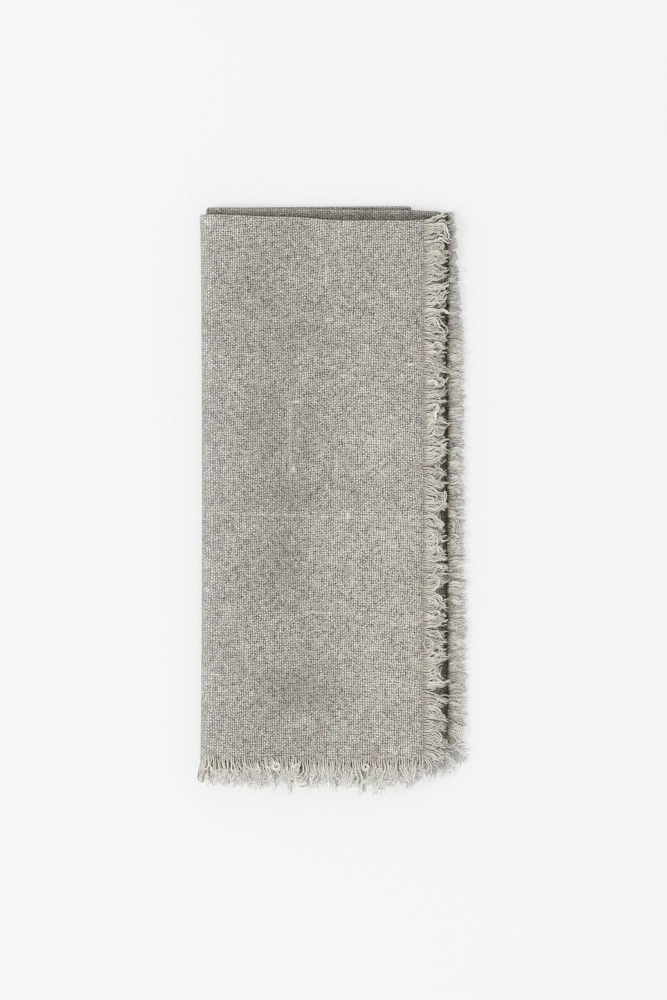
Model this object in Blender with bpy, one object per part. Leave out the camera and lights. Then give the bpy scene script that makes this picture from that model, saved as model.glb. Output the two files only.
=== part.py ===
"""Napkin of plain-woven linen, frayed on all four sides, folded and lying flat with its front face up.

The flat napkin has coordinates of its own: u across it, v along it and h through its thickness. It is folded
in half along v, which leaves two plies with one fold at the top and both frayed edges at the foot. That double
strip is folded in half along u, and in half again, like a book: four panels lie on each other, with two folds
inside each other at the left, and both frayed sides at the right. +Z is up, out of the front face, and +Y
points from the foot to the top fold. The origin is on the surface under the middle of the napkin.
"""

import math
import random
from collections import namedtuple

import bmesh
import bpy

MM = 0.001

# The woven cloth, and how near its layers lie to each other
SHEET = 1.0 * MM
PLY_GAP = 0.35 * MM
PANEL_GAP = 0.5 * MM
PLY_PITCH = SHEET + PLY_GAP
PANEL_THICKNESS = PLY_PITCH + SHEET
PANEL_PITCH = PANEL_THICKNESS + PANEL_GAP
PILE_HEIGHT = 3 * PANEL_PITCH + PANEL_THICKNESS

# The folds, as radii of the middle of what turns round them
TOP_RADIUS = PLY_PITCH / 2
INNER_RADIUS = PANEL_PITCH / 2
OUTER_RADIUS = 3 * PANEL_PITCH / 2

# The run of a panel and of a ply between folds, and the cloth of the two sides past the right fold
PANEL_RUN = 85.0 * MM
PLY_RUN = 238.9 * MM
FRONT_SIDE = 8.5 * MM
SECOND_SIDE = 18.8 * MM

# The frayed edges: a narrow band along the cloth, and the locks of loose yarn that stand from it
SEAM_GAP = 0.3 * MM
BAND = 1.4 * MM
FOOT_FRINGE = 10.4 * MM
SIDE_FRINGE = 8.8 * MM
LOCK_PITCH = 6.6 * MM
LOCK_SHARE = 0.78
SHARE_SPREAD = 0.07
LENGTH_SPREAD = 0.14
SWAY = 1.0 * MM
CORNER_FAN = 2.6 * MM
CORNER_REACH = 26.0 * MM
SEED = 4

# The second panel's side sinks in an S of two equal bends, the later of which lays its fringe level on the
# surface. The front panel's side sinks less, and stands clear of it.
SINK_RADIUS = 33.0 * MM
SINK_BEND = (SECOND_SIDE + SIDE_FRINGE) / 2
SECOND_EDGE = SECOND_SIDE - SINK_BEND
FRONT_RADIUS = 80.0 * MM

# A section that turns further than this is a sharp fold, whose locks are as narrow as its columns
SHARP_TURN = math.radians(90)

LINEN = ("linen_cloth", (0.38, 0.36, 0.32, 1.0), 0.93)
YARN = ("linen_yarn", (0.55, 0.52, 0.46, 1.0), 0.95)

Section = namedtuple("Section", "name length turn columns locks top foot")
Ridge = namedtuple("Ridge", "name x y reach_x reach_y height")
Step = namedtuple("Step", "share narrowing")

# The double strip, from its hidden side to its front one. The columns divide a section, and locks says which
# columns of a sharp fold carry a lock. Top and foot are the heights, at the section's far end, of the top fold
# and of the cloth's lower edge, both measured from the tips of the fringe at the foot.
STRIP_TOP = 252.4 * MM
STRIP_FOOT = 16.4 * MM
STRIP = (
    Section("second_edge", SECOND_EDGE, -SECOND_EDGE / SINK_RADIUS, 2, (), 252.7 * MM, 16.0 * MM),
    Section("second_drop", SINK_BEND, SINK_BEND / SINK_RADIUS, 4, (), 253.2 * MM, 15.2 * MM),
    Section("second_panel", PANEL_RUN, 0.0, 5, (), 254.3 * MM, 13.6 * MM),
    Section("inner_left_fold", math.pi * INNER_RADIUS, math.pi, 8, (2, 5), 254.4 * MM, 13.6 * MM),
    Section("third_panel", PANEL_RUN, 0.0, 5, (), 255.0 * MM, 14.0 * MM),
    Section("right_fold", math.pi * INNER_RADIUS, -math.pi, 8, (2, 5), 255.0 * MM, 14.0 * MM),
    Section("bottom_panel", PANEL_RUN, 0.0, 5, (), 251.8 * MM, 12.2 * MM),
    Section("outer_left_fold", math.pi * OUTER_RADIUS, -math.pi, 10, (1, 4, 7), 251.5 * MM, 11.9 * MM),
    Section("front_panel_left", 0.36 * PANEL_RUN, 0.0, 3, (), 250.6 * MM, 11.4 * MM),
    Section("front_panel_middle", 0.34 * PANEL_RUN, 0.0, 3, (), 248.9 * MM, 11.0 * MM),
    Section("front_panel_right", 0.30 * PANEL_RUN, 0.0, 3, (), 248.9 * MM, 11.4 * MM),
    Section("front_side", FRONT_SIDE, -FRONT_SIDE / FRONT_RADIUS, 3, (), 249.2 * MM, 12.0 * MM),
)

# The two plies, from the lower edge of the one that faces out on the front panel. The strip gives their heights.
PLIES = (
    Section("outer_ply", PLY_RUN, 0.0, 9, (), None, None),
    Section("top_fold", math.pi * TOP_RADIUS, -math.pi, 6, (), None, None),
    Section("inner_ply", PLY_RUN, 0.0, 9, (), None, None),
)

# Soft swellings and hollows of the pressed pile, which fade to nothing at the surface under it
RIDGES = (
    Ridge("left_folds", -54 * MM, 5 * MM, 9 * MM, 170 * MM, 0.9 * MM),
    Ridge("top_folds", -6 * MM, 122 * MM, 60 * MM, 10 * MM, 0.8 * MM),
    Ridge("middle_hollow", 2 * MM, 18 * MM, 26 * MM, 60 * MM, -0.5 * MM),
    Ridge("upper_swell", 22 * MM, 70 * MM, 15 * MM, 40 * MM, 0.4 * MM),
    Ridge("lower_swell", -20 * MM, -68 * MM, 18 * MM, 34 * MM, 0.4 * MM),
)

# How far a lock is drawn out in each step, as a share of its length, and how much narrower it ends
LOCK_STEPS = (Step(0.55, 0.90), Step(0.45, 0.74))


def total(sections):
    """The length of cloth in a run of sections."""
    return sum(section.length for section in sections)


CLOTH_WIDTH = total(STRIP)
CLOTH_LENGTH = total(PLIES)


def step_on(point, heading, length, turn):
    """The point and heading after a length of straight, or of an even turn."""
    x, z = point
    if turn == 0:
        return (x + length * math.cos(heading), z + length * math.sin(heading)), heading
    radius = length / turn
    centre_x = x - radius * math.sin(heading)
    centre_z = z + radius * math.cos(heading)
    heading += turn
    return (centre_x + radius * math.sin(heading), centre_z - radius * math.cos(heading)), heading


class Route:
    """A run of straights and turns in a plane, along which a layer at any offset lies without stretching."""

    def __init__(self, sections, heading, start):
        self.sections = sections
        self.starts = []
        along, point = 0.0, start
        for section in sections:
            self.starts.append((along, point, heading))
            point, heading = step_on(point, heading, section.length, section.turn)
            along += section.length

    def find(self, along):
        """The section at a distance along the route, as its index, and the share of it that is passed."""
        index = max(i for i in range(len(self.sections)) if i == 0 or along >= self.starts[i][0])
        return index, (along - self.starts[index][0]) / self.sections[index].length

    def place(self, along, offset):
        """The point that lies offset to the left of the route at a distance along it."""
        index, share = self.find(along)
        section = self.sections[index]
        _, point, heading = self.starts[index]
        (x, z), heading = step_on(point, heading, share * section.length, share * section.turn)
        return x - offset * math.sin(heading), z + offset * math.cos(heading)

    def height(self, along, start, column):
        """A height from the table, eased from one section's end to the next."""
        index, share = self.find(along)
        before = getattr(self.sections[index - 1], column) if index else start
        share = min(max(share, 0.0), 1.0)
        eased = share * share * (3 - 2 * share)
        return before + (getattr(self.sections[index], column) - before) * eased


PLY_ROUTE = Route(PLIES, 0.0, (0.0, TOP_RADIUS))
STRIP_ROUTE = Route(STRIP, math.pi - (SINK_BEND - SECOND_EDGE) / SINK_RADIUS, (0.0, 0.0))
BOTTOM_LEVEL = STRIP_ROUTE.starts[[section.name for section in STRIP].index("bottom_panel")][1][1]


def relief(x, y):
    """How much the pile's top face swells or sinks at a point."""
    return sum(
        ridge.height * math.exp(-(((x - ridge.x) / ridge.reach_x) ** 2) - ((y - ridge.y) / ridge.reach_y) ** 2)
        for ridge in RIDGES
    )


def folded(u, v, h):
    """Where a point of the flat napkin lies once the napkin is folded, with x and y not yet centred."""
    up, across = PLY_ROUTE.place(v, h)
    x, z = STRIP_ROUTE.place(u, across)
    foot = STRIP_ROUTE.height(u, STRIP_FOOT, "foot")
    fold = STRIP_ROUTE.height(u, STRIP_TOP, "top") - PANEL_THICKNESS / 2
    if up < 0:
        y = foot + up
    elif up > PLY_RUN:
        y = fold + up - PLY_RUN
    else:
        y = foot + (fold - foot) * up / PLY_RUN
    return x, y, z - BOTTOM_LEVEL + PANEL_THICKNESS / 2


def column_lines(sections):
    """Where the lines fall that divide a run of sections into its columns."""
    lines, along = [0.0], 0.0
    for section in sections:
        lines += [along + section.length * (i + 1) / section.columns for i in range(section.columns)]
        along += section.length
    return lines


def lock_lines(sections, dice):
    """The lines of a band's columns, and which of its columns carry a lock."""
    lines, locks, along = [0.0], [], 0.0
    for section in sections:
        if abs(section.turn) > SHARP_TURN:
            ends = [(i + 1) / section.columns for i in range(section.columns)]
            locks += [i in section.locks for i in range(section.columns)]
        else:
            count = round(section.length / LOCK_PITCH)
            ends = []
            for i in range(count):
                ends += [(i + LOCK_SHARE + dice.uniform(-SHARE_SPREAD, SHARE_SPREAD)) / count, (i + 1) / count]
            locks += [True, False] * count
        lines += [along + section.length * end for end in ends]
        along += section.length
    return lines, locks


def flat_slab(across, along):
    """A flat slab of the cloth's thickness, whose faces are ruled by the lines across and along it."""
    slab = bmesh.new()
    bmesh.ops.create_grid(slab, x_segments=len(across) - 1, y_segments=len(along) - 1, size=1.0)
    for vertex in slab.verts:
        column = round((vertex.co.x + 1) / 2 * (len(across) - 1))
        row = round((vertex.co.y + 1) / 2 * (len(along) - 1))
        vertex.co = (across[column], along[row], -SHEET / 2)
    above = bmesh.ops.extrude_face_region(slab, geom=slab.faces[:], use_keep_orig=True)["geom"]
    raised = [item for item in above if isinstance(item, bmesh.types.BMVert)]
    bmesh.ops.translate(slab, verts=raised, vec=(0, 0, SHEET))
    bmesh.ops.recalc_face_normals(slab, faces=slab.faces)
    return slab


def draw_out_locks(band, faces, reach, width, dice):
    """Draws each chosen face of a band out into a lock that narrows and sways, and fans out near a corner."""
    for face in faces:
        length = reach * (1 - LENGTH_SPREAD * dice.random())
        root = face.calc_center_median().x
        to_corner = max(0.0, 1 - min(root, width - root) / CORNER_REACH)
        sway = SWAY * dice.uniform(-1, 1) + CORNER_FAN * to_corner * (-1 if root < width / 2 else 1)
        for step in LOCK_STEPS:
            face = bmesh.ops.extrude_discrete_faces(band, faces=[face])["faces"][0]
            bmesh.ops.translate(band, verts=face.verts, vec=(sway * step.share, length * step.share, 0))
            middle = face.calc_center_median().x
            for vertex in face.verts:
                vertex.co.x = middle + (vertex.co.x - middle) * step.narrowing


def frayed_edge(sections, fringe, to_napkin, dice):
    """One frayed edge: its band and locks are drawn along X, with the locks towards +Y, and laid on the napkin."""
    lines, locks = lock_lines(sections, dice)
    band = flat_slab(lines, [SEAM_GAP, SEAM_GAP + BAND])
    outer = [face for face in band.faces if face.normal.y > 0.9]
    outer.sort(key=lambda face: face.calc_center_median().x)
    chosen = [face for face, lock in zip(outer, locks) if lock]
    draw_out_locks(band, chosen, fringe - SEAM_GAP - BAND, total(sections), dice)
    for vertex in band.verts:
        along, out, through = vertex.co
        vertex.co = (*to_napkin(along, out), through)
    return band


def from_other_end(sections):
    """The same run of sections, walked from its other end."""
    return [
        section._replace(locks=[section.columns - 1 - i for i in section.locks])
        for section in reversed(sections)
    ]


def material_of(name, colour, roughness):
    """The finish of that name, made once and shared."""
    material = bpy.data.materials.get(name) or bpy.data.materials.new(name)
    material.use_nodes = True
    shader = material.node_tree.nodes["Principled BSDF"]
    shader.inputs["Base Color"].default_value = colour
    shader.inputs["Roughness"].default_value = roughness
    shader.inputs["Metallic"].default_value = 0.0
    return material


def centre_and_settle(shapes):
    """Moves the folded shapes so that their middle is over the origin, and swells the pile a little."""
    points = [vertex.co for shape in shapes for vertex in shape.verts]
    middle_x = (min(p.x for p in points) + max(p.x for p in points)) / 2
    middle_y = (min(p.y for p in points) + max(p.y for p in points)) / 2
    for point in points:
        point.x -= middle_x
        point.y -= middle_y
        point.z += point.z / PILE_HEIGHT * relief(point.x, point.y)


def make_object(name, shape, finish, collection):
    mesh = bpy.data.meshes.new(name)
    shape.to_mesh(mesh)
    shape.free()
    mesh.materials.append(material_of(*finish))
    mesh.shade_smooth()
    mesh.set_sharp_from_angle(angle=math.radians(40))
    collection.objects.link(bpy.data.objects.new(name, mesh))


def main():
    for old in list(bpy.data.objects):
        bpy.data.objects.remove(old, do_unlink=True)
    napkin = bpy.data.collections.new("folded_napkin")
    bpy.context.scene.collection.children.link(napkin)
    dice = random.Random(SEED)

    # Each edge is turned by quarters, from drawn along X to its place on the flat napkin
    shapes = {
        "napkin_cloth": flat_slab(column_lines(STRIP), column_lines(PLIES)),
        "fringe_foot_outer": frayed_edge(
            from_other_end(STRIP), FOOT_FRINGE, lambda along, out: (CLOTH_WIDTH - along, -out), dice
        ),
        "fringe_foot_inner": frayed_edge(
            STRIP, FOOT_FRINGE, lambda along, out: (along, CLOTH_LENGTH + out), dice
        ),
        "fringe_side_front": frayed_edge(
            from_other_end(PLIES), SIDE_FRINGE, lambda along, out: (CLOTH_WIDTH + out, CLOTH_LENGTH - along), dice
        ),
        "fringe_side_second": frayed_edge(
            PLIES, SIDE_FRINGE, lambda along, out: (-out, along), dice
        ),
    }
    for shape in shapes.values():
        for vertex in shape.verts:
            vertex.co = folded(*vertex.co)
    centre_and_settle(shapes.values())
    for name, shape in shapes.items():
        make_object(name, shape, LINEN if name == "napkin_cloth" else YARN, napkin)


main()
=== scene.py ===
import math
import random
from collections import namedtuple

import bmesh
import bpy
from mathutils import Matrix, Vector, noise


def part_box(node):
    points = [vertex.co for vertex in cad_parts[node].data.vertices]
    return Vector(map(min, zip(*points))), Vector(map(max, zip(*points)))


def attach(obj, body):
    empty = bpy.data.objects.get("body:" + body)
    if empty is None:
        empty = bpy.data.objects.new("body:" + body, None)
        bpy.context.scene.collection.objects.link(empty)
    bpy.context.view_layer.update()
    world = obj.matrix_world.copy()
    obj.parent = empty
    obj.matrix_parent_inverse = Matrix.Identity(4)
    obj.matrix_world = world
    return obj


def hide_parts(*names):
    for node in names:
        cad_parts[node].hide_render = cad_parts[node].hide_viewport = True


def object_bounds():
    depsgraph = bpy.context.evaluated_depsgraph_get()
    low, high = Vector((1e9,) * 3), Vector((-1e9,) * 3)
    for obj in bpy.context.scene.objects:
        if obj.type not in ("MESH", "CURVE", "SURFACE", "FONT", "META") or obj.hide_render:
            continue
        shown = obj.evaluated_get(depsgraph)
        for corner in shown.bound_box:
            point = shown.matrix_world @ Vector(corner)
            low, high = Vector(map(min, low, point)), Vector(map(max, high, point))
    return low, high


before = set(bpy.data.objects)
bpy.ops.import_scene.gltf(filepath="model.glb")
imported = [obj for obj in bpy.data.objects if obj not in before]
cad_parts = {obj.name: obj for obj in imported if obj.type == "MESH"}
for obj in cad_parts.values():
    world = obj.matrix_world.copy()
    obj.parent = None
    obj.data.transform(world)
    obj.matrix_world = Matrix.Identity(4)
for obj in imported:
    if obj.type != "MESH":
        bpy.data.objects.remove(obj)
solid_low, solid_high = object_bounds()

# The woven cloth: one square-cut napkin of natural linen, plain woven, folded in half with the fold at the
# top, then twice sideways like a book. It is worked out flat, u across, v along and h through it, and
# folded by two routes: the plies' over the top fold, and the double strip's round the side folds.
MM = 0.001
SHEET = 1.0 * MM
PLY_PITCH = 1.35 * MM
PANEL_THICKNESS = PLY_PITCH + SHEET
PANEL_PITCH = PANEL_THICKNESS + 0.5 * MM
PILE_HEIGHT = 3 * PANEL_PITCH + PANEL_THICKNESS
TOP_RADIUS = PLY_PITCH / 2
INNER_RADIUS = PANEL_PITCH / 2
OUTER_RADIUS = 3 * PANEL_PITCH / 2
PANEL_RUN = 85.0 * MM
PLY_RUN = 238.9 * MM
FRONT_SIDE = 8.5 * MM
SECOND_SIDE = 18.8 * MM
SIDE_FRINGE = 8.8 * MM
SINK_RADIUS = 33.0 * MM
SINK_BEND = (SECOND_SIDE + SIDE_FRINGE) / 2
SECOND_EDGE = SECOND_SIDE - SINK_BEND
FRONT_RADIUS = 80.0 * MM
BY_FOLD = 9.0 * MM

Section = namedtuple("Section", "name length turn columns top foot")
Ridge = namedtuple("Ridge", "x y reach_x reach_y slant height")

# From the hidden side to the front one. Top and foot are the heights of the top fold and of the cloth's
# lower edge at the section's far end, from the tips of the fringe at the foot.
STRIP_TOP = 252.4 * MM
STRIP_FOOT = 16.4 * MM
STRIP = (
    Section("second_edge", SECOND_EDGE, -SECOND_EDGE / SINK_RADIUS, 4, 253.1 * MM, 16.0 * MM),
    Section("second_drop", SINK_BEND, SINK_BEND / SINK_RADIUS, 8, 253.6 * MM, 15.2 * MM),
    Section("second_panel", PANEL_RUN, 0.0, 26, 254.7 * MM, 13.6 * MM),
    Section("inner_left_fold", math.pi * INNER_RADIUS, math.pi, 8, 254.8 * MM, 13.6 * MM),
    Section("third_panel", PANEL_RUN, 0.0, 26, 255.3 * MM, 14.0 * MM),
    Section("right_fold", math.pi * INNER_RADIUS, -math.pi, 8, 255.3 * MM, 14.0 * MM),
    Section("bottom_panel", PANEL_RUN, 0.0, 26, 251.8 * MM, 12.2 * MM),
    Section("outer_left_fold", math.pi * OUTER_RADIUS, -math.pi, 14, 251.5 * MM, 11.9 * MM),
    Section("front_panel_left", 0.36 * PANEL_RUN, 0.0, 24, 250.6 * MM, 11.4 * MM),
    Section("front_panel_middle", 0.34 * PANEL_RUN, 0.0, 23, 248.9 * MM, 11.0 * MM),
    Section("front_panel_right", 0.30 * PANEL_RUN, 0.0, 20, 248.9 * MM, 11.4 * MM),
    Section("front_side", FRONT_SIDE, -FRONT_SIDE / FRONT_RADIUS, 8, 249.2 * MM, 12.0 * MM),
)

# The inner ply's rows are finer by the top fold, where its shade changes quickly
PLIES = (
    Section("outer_ply", PLY_RUN, 0.0, 126, None, None),
    Section("top_fold", math.pi * TOP_RADIUS, -math.pi, 8, None, None),
    Section("inner_ply_by_fold", BY_FOLD, 0.0, 8, None, None),
    Section("inner_ply", PLY_RUN - BY_FOLD, 0.0, 57, None, None),
)

# Soft ridges and troughs of the pressed pile: the first five are the solid's, the others smaller creases
RIDGES = (
    Ridge(-54 * MM, 5 * MM, 9 * MM, 170 * MM, 0, 0.9 * MM),
    Ridge(-6 * MM, 122 * MM, 60 * MM, 10 * MM, 0, 0.8 * MM),
    Ridge(2 * MM, 18 * MM, 26 * MM, 60 * MM, 0, -0.5 * MM),
    Ridge(22 * MM, 70 * MM, 15 * MM, 40 * MM, 0, 0.4 * MM),
    Ridge(-20 * MM, -68 * MM, 18 * MM, 34 * MM, 0, 0.4 * MM),
    Ridge(-29 * MM, 44 * MM, 7 * MM, 11 * MM, 0.3, -0.35 * MM),
    Ridge(-20 * MM, 2 * MM, 10 * MM, 9 * MM, -0.2, -0.35 * MM),
    Ridge(-24 * MM, -25 * MM, 8 * MM, 14 * MM, 0.2, -0.3 * MM),
    Ridge(-14 * MM, -84 * MM, 15 * MM, 10 * MM, -0.4, -0.45 * MM),
    Ridge(-21 * MM, 80 * MM, 16 * MM, 9 * MM, 0.2, -0.3 * MM),
    Ridge(6 * MM, -8 * MM, 30 * MM, 3 * MM, 0.1, 0.18 * MM),
    Ridge(20 * MM, -55 * MM, 9 * MM, 30 * MM, 0.15, 0.3 * MM),
    Ridge(33 * MM, 20 * MM, 6 * MM, 45 * MM, 0, 0.3 * MM),
)
UNEVEN_HEIGHT = 0.13 * MM
UNEVEN_SPAN = 13.0 * MM
UNEVEN_SLICE = 0.3

# The left folds are drawn in a little between the top and the foot
DRAWN_IN = 0.9 * MM
DRAWN_REACH = 28.0 * MM
DRAWN_LENGTH = 240.0 * MM

# The top folds hang over their own edge
DROOP = 1.2 * MM
DROOP_FROM = 119.5 * MM
DROOP_REACH = 7.5 * MM


def total(sections):
    return sum(section.length for section in sections)


CLOTH_WIDTH = total(STRIP)
CLOTH_LENGTH = total(PLIES)


def step_on(point, heading, length, turn):
    """The point and heading after a length of straight, or of an even turn."""
    x, z = point
    if turn == 0:
        return (x + length * math.cos(heading), z + length * math.sin(heading)), heading
    radius = length / turn
    centre_x = x - radius * math.sin(heading)
    centre_z = z + radius * math.cos(heading)
    heading += turn
    return (centre_x + radius * math.sin(heading), centre_z - radius * math.cos(heading)), heading


class Route:
    """A run of straights and turns in a plane, on which a layer at any offset lies without stretching."""

    def __init__(self, sections, heading, start):
        self.sections = sections
        self.starts = []
        along, point = 0.0, start
        for section in sections:
            self.starts.append((along, point, heading))
            point, heading = step_on(point, heading, section.length, section.turn)
            along += section.length

    def find(self, along):
        """The section at a distance along the route, as its index, and the share of it that is passed."""
        index = len(self.sections) - 1
        while index > 0 and along < self.starts[index][0]:
            index -= 1
        return index, (along - self.starts[index][0]) / self.sections[index].length

    def place(self, along, offset):
        """The point that lies offset to the left of the route at a distance along it."""
        index, share = self.find(along)
        section = self.sections[index]
        _, point, heading = self.starts[index]
        (x, z), heading = step_on(point, heading, share * section.length, share * section.turn)
        return x - offset * math.sin(heading), z + offset * math.cos(heading)

    def height(self, along, start, column):
        """A height from the table, eased from one section's end to the next."""
        index, share = self.find(along)
        before = getattr(self.sections[index - 1], column) if index else start
        share = min(max(share, 0.0), 1.0)
        eased = share * share * (3 - 2 * share)
        return before + (getattr(self.sections[index], column) - before) * eased


PLY_ROUTE = Route(PLIES, 0.0, (0.0, TOP_RADIUS))
STRIP_ROUTE = Route(STRIP, math.pi - (SINK_BEND - SECOND_EDGE) / SINK_RADIUS, (0.0, 0.0))
NAMES = [section.name for section in STRIP]
BOTTOM_LEVEL = STRIP_ROUTE.starts[NAMES.index("bottom_panel")][1][1]
OUTER_FOLD_X = STRIP_ROUTE.starts[NAMES.index("outer_left_fold")][1][0]

# The route starts anywhere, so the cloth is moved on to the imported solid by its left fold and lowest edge
cloth_low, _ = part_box("napkin_cloth")
SHIFT_X = cloth_low.x - (OUTER_FOLD_X - OUTER_RADIUS - PANEL_THICKNESS / 2)
SHIFT_Y = cloth_low.y - min(section.foot for section in STRIP)


def relief(x, y):
    """How much the top face swells or sinks at a point."""
    height = 0.0
    for ridge in RIDGES:
        across = (x - ridge.x + (y - ridge.y) * ridge.slant) / ridge.reach_x
        along = (y - ridge.y) / ridge.reach_y
        height += ridge.height * math.exp(-across ** 2 - along ** 2)
    height -= DROOP * (max(0.0, y - DROOP_FROM) / DROOP_REACH) ** 2
    return height + UNEVEN_HEIGHT * noise.noise(Vector((x / UNEVEN_SPAN, y / UNEVEN_SPAN, UNEVEN_SLICE)))


def folded(u, v, h):
    """Where a point of the flat napkin lies once the napkin is folded."""
    up, across = PLY_ROUTE.place(v, h)
    x, z = STRIP_ROUTE.place(u, across)
    foot = STRIP_ROUTE.height(u, STRIP_FOOT, "foot")
    fold = STRIP_ROUTE.height(u, STRIP_TOP, "top") - PANEL_THICKNESS / 2
    if up < 0:
        y = foot + up
    elif up > PLY_RUN:
        y = fold + up - PLY_RUN
    else:
        y = foot + (fold - foot) * up / PLY_RUN
    x += SHIFT_X
    y += SHIFT_Y
    z += PANEL_THICKNESS / 2 - BOTTOM_LEVEL
    by_left = max(0.0, 1 - (x - cloth_low.x) / DRAWN_REACH)
    by_middle = max(0.0, math.cos(y / DRAWN_LENGTH * math.pi)) ** 0.5
    return x + DRAWN_IN * by_left * by_middle, y, z + z / PILE_HEIGHT * relief(x, y)


def column_lines(sections):
    """Where the lines fall that divide a run of sections into its columns."""
    lines, along = [0.0], 0.0
    for section in sections:
        lines += [along + section.length * (i + 1) / section.columns for i in range(section.columns)]
        along += section.length
    return lines


def flat_cloth(across, along):
    """The flat cloth as a thin slab ruled by lines across and along it, its UV map in metres of cloth."""
    slab = bmesh.new()
    flat_map = slab.loops.layers.uv.new("flat")
    bmesh.ops.create_grid(slab, x_segments=len(across) - 1, y_segments=len(along) - 1, size=1.0)
    for vertex in slab.verts:
        column = round((vertex.co.x + 1) / 2 * (len(across) - 1))
        row = round((vertex.co.y + 1) / 2 * (len(along) - 1))
        vertex.co = (across[column], along[row], -SHEET / 2)
    above = bmesh.ops.extrude_face_region(slab, geom=slab.faces[:], use_keep_orig=True)["geom"]
    raised = [item for item in above if isinstance(item, bmesh.types.BMVert)]
    bmesh.ops.translate(slab, verts=raised, vec=(0, 0, SHEET))
    bmesh.ops.recalc_face_normals(slab, faces=slab.faces)
    for face in slab.faces:
        for loop in face.loops:
            loop[flat_map].uv = loop.vert.co.xy
    return slab


def piece_of(shape, name, material):
    """Makes a finished shape an object of the napkin's one body."""
    mesh = bpy.data.meshes.new(name)
    shape.to_mesh(mesh)
    shape.free()
    mesh.materials.append(material)
    mesh.shade_smooth()
    piece = bpy.data.objects.new(name, mesh)
    bpy.context.scene.collection.objects.link(piece)
    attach(piece, "root")
    return piece


class Tree:
    """Adds nodes to a node tree and wires them: a value is a number, a vector, or another node's output."""

    def __init__(self, tree):
        self.tree = tree

    def node(self, kind, *values, out=0, **settings):
        made = self.tree.nodes.new(kind)
        for key, value in settings.items():
            setattr(made, key, value)
        for socket, value in zip(made.inputs, values):
            self.feed(socket, value)
        return made.outputs[out]

    def feed(self, socket, value):
        if isinstance(value, bpy.types.NodeSocket):
            self.tree.links.new(value, socket)
        elif value is not None:
            socket.default_value = value

    def math(self, operation, *values, clamp=False):
        return self.node("ShaderNodeMath", *values, operation=operation, use_clamp=clamp)

    def plus(self, first, second):
        return self.math("ADD", first, second)

    def minus(self, first, second):
        return self.math("SUBTRACT", first, second)

    def times(self, first, second):
        return self.math("MULTIPLY", first, second)

    def over(self, first, second):
        return self.math("DIVIDE", first, second)

    def larger(self, first, second):
        return self.math("MAXIMUM", first, second)

    def ease(self, value, low, high):
        """0 below low, 1 above high, and smooth between."""
        made = self.tree.nodes.new("ShaderNodeMapRange")
        made.interpolation_type = "SMOOTHSTEP"
        for name, item in (("Value", value), ("From Min", low), ("From Max", high)):
            self.feed(made.inputs[name], item)
        return made.outputs["Result"]

    def place(self, x, y, z=0.0):
        return self.node("ShaderNodeCombineXYZ", x, y, z)

    def cloud(self, place, scale, detail=2.0):
        """Soft noise from 0 to 1."""
        made = self.tree.nodes.new("ShaderNodeTexNoise")
        for name, item in (("Vector", place), ("Scale", scale), ("Detail", detail)):
            self.feed(made.inputs[name], item)
        return made.outputs["Fac"]

    def attribute(self, name):
        """A number that the mesh carries at its points."""
        return self.node("ShaderNodeAttribute", attribute_name=name, out=2)

    def mix(self, share, first, second, blend="MIX"):
        """A colour between two. A Mix node has its two colours at sockets 6 and 7."""
        made = self.tree.nodes.new("ShaderNodeMix")
        made.data_type = "RGBA"
        made.blend_type = blend
        for index, value in ((0, share), (6, first), (7, second)):
            self.feed(made.inputs[index], value)
        return made.outputs[2]

    def multiply(self, first, second):
        """Two colours, one through the other."""
        return self.mix(1.0, first, second, "MULTIPLY")


# The weave is worked out from the flat cloth's own measure: warp yarns up the napkin, weft yarns across it.
# Its unevenness is in turns a metre: how quickly the yarns stray from their pitch, and how quickly the tone
# and the thickness of a yarn change along it. A step is how far apart two neighbours lie in the noise.
WARP_PITCH = 0.987 * MM
WEFT_PITCH = 0.733 * MM
STRAY = 1.5
WARP_STRAY_TURNS = 160.0
WEFT_STRAY_TURNS = 190.0
TONE_TURNS = 260.0
TONE_STEP = 7.31
THICKNESS_TURNS = 420.0
THICKNESS_STEP = 3.77
THINNEST = 0.5
THICKER = 0.6

# How a yarn's height is made up of its round top and of its wave over and under, and its tone of the yarn's
# own, of each crossing's, and of the warp being the paler one
ROUND_SHARE = 0.62
WAVE_SHARE = 0.38
SOFT_CROSSING = 0.12
YARN_TONE = 0.5
CROSSING_TONE = 0.3
WARP_PALER = 0.2
WARP_GROOVE = 0.45
GAP_UNEVEN = 0.9


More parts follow.
